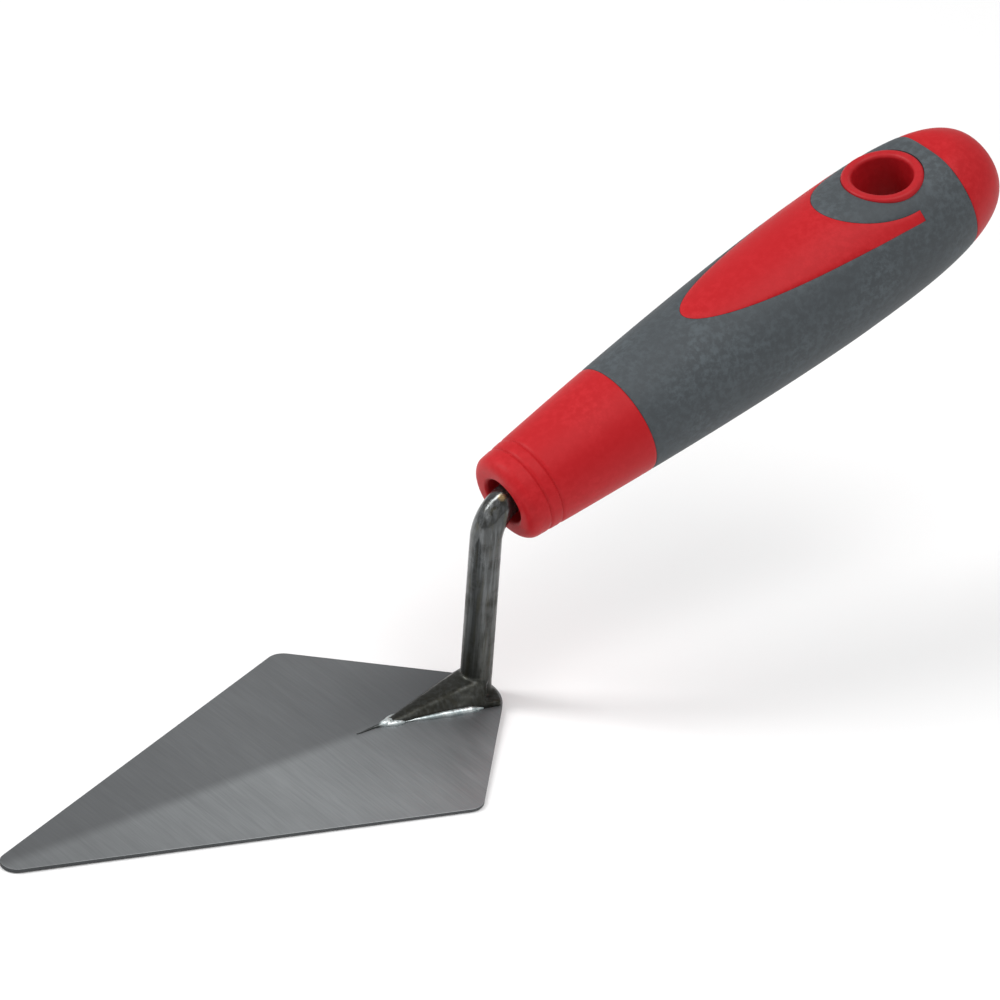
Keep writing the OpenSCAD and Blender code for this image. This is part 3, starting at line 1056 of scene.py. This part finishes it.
def bar_scale_and_painted_light(tree, place, colour, rough):
    """Lighter streaks along the bar as painted highlights, olive scale low on the neck and a painted brassy
    glint by the mouth.
    """
    height = coordinate(tree, place, "Z")
    # Painted highlights: faint lighter streaks along the bar.
    drawn = noise_node(tree, 1.0, 4, 0.55, stretched(tree, place, (1100, 1100, 70)))
    highlight_streaked = mix_colour(tree, ramp_node(tree, drawn, 0.42, 0.66, 0.0, 0.6), colour, (0.2, 0.21, 0.215, 1))
    low = ramp_node(tree, height, 0.004, 0.036, 0.62, 0.0)
    neck = mix_colour(tree, low, highlight_streaked, (0.034, 0.034, 0.024, 1))
    foot = ramp_node(tree, height, 0.004, 0.0085, 0.5, 0.0)
    olive = mix_colour(tree, foot, neck, (0.012, 0.012, 0.01, 1))
    # Painted reflection: a small brassy glint at one fixed place by the mouth.
    glint_distance = tree.nodes.new("ShaderNodeVectorMath")
    glint_distance.operation = "DISTANCE"
    tree.links.new(place, glint_distance.inputs[0])
    glint_distance.inputs[1].default_value = (-0.0003, 0.0016, 0.0537)
    painted_glint = ramp_node(tree, glint_distance.outputs["Value"], 0.0004, 0.0013, 0.8, 0.0)
    shine = ramp_node(tree, height, 0.03, 0.046, 0.0, 1.0)
    polished = math_node(tree, "SUBTRACT", rough, math_node(tree, "MULTIPLY", shine, 0.2))
    return mix_colour(tree, painted_glint, olive, (0.42, 0.3, 0.14, 1)), polished


bar_steel = material("dark forged bar", groups["scale"],
                     {"Steel": (0.088, 0.092, 0.092, 1), "Scale": (0.045, 0.046, 0.043, 1),
                      "Temper": (0.09, 0.08, 0.045, 1), "Heat": 0.4}, 0.03,
                     {"Metallic": 0.88}, bar_scale_and_painted_light)


def toe_painted_shade(tree, place, colour, rough):
    """Paints shade on the crease in front of the toe and on the far bead; the rest stays bright."""
    # Painted shade: the thin crease in front of the toe is mixed towards near black.
    crease = ramp_node(tree, coordinate(tree, place, "X"), 0.0268, 0.0284, 0.0, 0.94)
    # Painted shade: the far bead is mixed towards near black.
    far_side = ramp_node(tree, coordinate(tree, place, "Y"), -0.0024, -0.0012, 0.85, 0.0)
    dark = math_node(tree, "MAXIMUM", crease, far_side)
    return mix_colour(tree, dark, colour, (0.03, 0.031, 0.03, 1)), math_node(tree, "SUBTRACT", rough, 0.04)


weld_metal = material("bright weld metal", groups["scale"],
                      {"Steel": (0.72, 0.78, 0.78, 1), "Scale": (0.4, 0.47, 0.48, 1),
                       "Temper": (0.3, 0.3, 0.22, 1), "Heat": 0.2}, 0.03, {"Metallic": 0.9}, toe_painted_shade)
red_plastic = material("red moulded plastic", groups["skin"],
                       {"Colour": (0.435, 0.0085, 0.0125, 1), "Faded": (0.5, 0.016, 0.021, 1),
                        "Grain size": 2400.0, "Gloss": 0.46}, 0.018,
                       {"Metallic": 0.0, "Specular IOR Level": 0.17})
eyelet_plastic = material("red eyelet plastic", groups["skin"],
                          {"Colour": (0.4, 0.009, 0.0135, 1), "Faded": (0.46, 0.014, 0.02, 1),
                           "Grain size": 2000.0, "Gloss": 0.4}, 0.01,
                          {"Metallic": 0.0, "Specular IOR Level": 0.2})
grip_rubber = material("grey grip rubber", groups["skin"],
                       {"Colour": (0.058, 0.066, 0.072, 1), "Faded": (0.088, 0.104, 0.114, 1),
                        "Grain size": 1500.0, "Gloss": 0.56}, 0.045,
                       {"Metallic": 0.0, "Specular IOR Level": 0.22})
made = (blade_steel, bar_steel, weld_metal, red_plastic, eyelet_plastic, grip_rubber)
print("materials:", [skin.name for skin in made])

# %% [markdown]
# ## Put everything in its place
# Each piece rides the one rigid body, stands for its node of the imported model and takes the
# material of its slot.

# %% Finish the pieces


def settle(piece, skin, node=None):
    piece.data.materials.clear()
    piece.data.materials.append(skin)
    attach(piece, "root")
    if node:
        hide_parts(node)


settle(blade, blade_steel, "blade")
settle(bar, bar_steel, "tang")
settle(weld_left, weld_metal, "weld_left")
settle(weld_right, weld_metal, "weld_right")
settle(weld_toe, weld_metal, "weld_toe")
settle(core, red_plastic, "handle_core")
settle(pad, red_plastic, "handle_core")
settle(eyelet, eyelet_plastic, "handle_core")
settle(sleeve, grip_rubber, "grip_sleeve")
for piece in (blade, bar, weld_left, weld_right, weld_toe, core, pad, eyelet, sleeve):
    bm = bmesh.new()
    bm.from_mesh(piece.data)
    open_edges = sum(1 for e in bm.edges if len(e.link_faces) != 2)
    volume = bm.calc_volume() / MM ** 3
    print(f"{piece.name:18} faces {len(bm.faces):6}  open edges {open_edges}  volume {volume:9.1f} mm3")
    bm.free()

# %% [markdown]
# ## Studio
# A pale floor and a white room keep the shadows soft. One large light stands over the right,
# a weaker one fills from the left, and a narrow strip puts a bright streak on the bent bar.

# %% Floor, lights and camera
TARGET = Vector((-1.3, 0, 51.7)) * MM
DISTANCE = 2.009
ELEVATION = math.radians(31.2)
AZIMUTH = math.radians(47.4)
ROLL = math.radians(6.2)
LENS_MM = 324.6
ROOM_LIGHT = 0.52
FLOOR_HALF = 3.0
FLOOR_DROP = 0.0002


def floor_plane():
    corners = [(x * FLOOR_HALF, y * FLOOR_HALF, -FLOOR_DROP) for x, y in ((-1, -1), (1, -1), (1, 1), (-1, 1))]
    mesh = bpy.data.meshes.new("floor")
    mesh.from_pydata(corners, [], [(0, 1, 2, 3)])
    floor = bpy.data.objects.new("floor", mesh)
    bpy.context.scene.collection.objects.link(floor)
    paper = bpy.data.materials.new("pale paper")
    paper.use_nodes = True
    shader = next(n for n in paper.node_tree.nodes if n.type == "BSDF_PRINCIPLED")
    shader.inputs["Base Color"].default_value = (0.93, 0.93, 0.93, 1)
    shader.inputs["Roughness"].default_value = 0.9
    shader.inputs["Specular IOR Level"].default_value = 0.1
    mesh.materials.append(paper)
    return floor


def soft_light(name, place, size, power, target=TARGET):
    data = bpy.data.lights.new(name, "AREA")
    data.shape = "RECTANGLE"
    data.size, data.size_y = size
    data.energy = power
    light = bpy.data.objects.new(name, data)
    light.location = place
    light.rotation_euler = (target - Vector(place)).to_track_quat("-Z", "Y").to_euler()
    bpy.context.scene.collection.objects.link(light)
    return light


floor_plane()
level = math.cos(ELEVATION)
view = Vector((level * math.cos(AZIMUTH), level * math.sin(AZIMUTH), math.sin(ELEVATION)))
forward = -view
level_right = forward.cross(Vector((0, 0, 1))).normalized()
level_up = level_right.cross(forward)
camera_up = level_up * math.cos(ROLL) - level_right * math.sin(ROLL)
camera_right = forward.cross(camera_up)
key_place = view * 0.75 + level_up * 0.95 + level_right * 0.35
fill_place = view * 1.2 - level_right * 1.0 + level_up * 0.3
strip_place = view * 0.5 - level_right * 0.9 + level_up * 0.75
soft_light("key over the right", tuple(key_place), (0.9, 0.9), 6.6)
soft_light("left fill", tuple(fill_place), (0.9, 0.9), 1.8)
soft_light("narrow strip for the bend", tuple(strip_place), (0.3, 0.9), 8)

world = bpy.data.worlds.new("soft white room")
world.use_nodes = True
world.node_tree.nodes["Background"].inputs["Color"].default_value = (1, 1, 1, 1)
world.node_tree.nodes["Background"].inputs["Strength"].default_value = ROOM_LIGHT
bpy.context.scene.world = world
bpy.context.scene.view_settings.view_transform = "Standard"

lens = bpy.data.cameras.new("studio camera")
lens.lens = LENS_MM
lens.sensor_width = 36
lens.clip_end = 20
lens.dof.use_dof = False
camera = bpy.data.objects.new("studio camera", lens)
camera.location = TARGET + view * DISTANCE
camera.rotation_euler = Matrix((camera_right, camera_up, view)).transposed().to_euler()
bpy.context.scene.collection.objects.link(camera)
bpy.context.scene.camera = camera
print("camera at, mm:", [round(c / MM) for c in camera.location])

# %% Finish
bpy.context.view_layer.update()
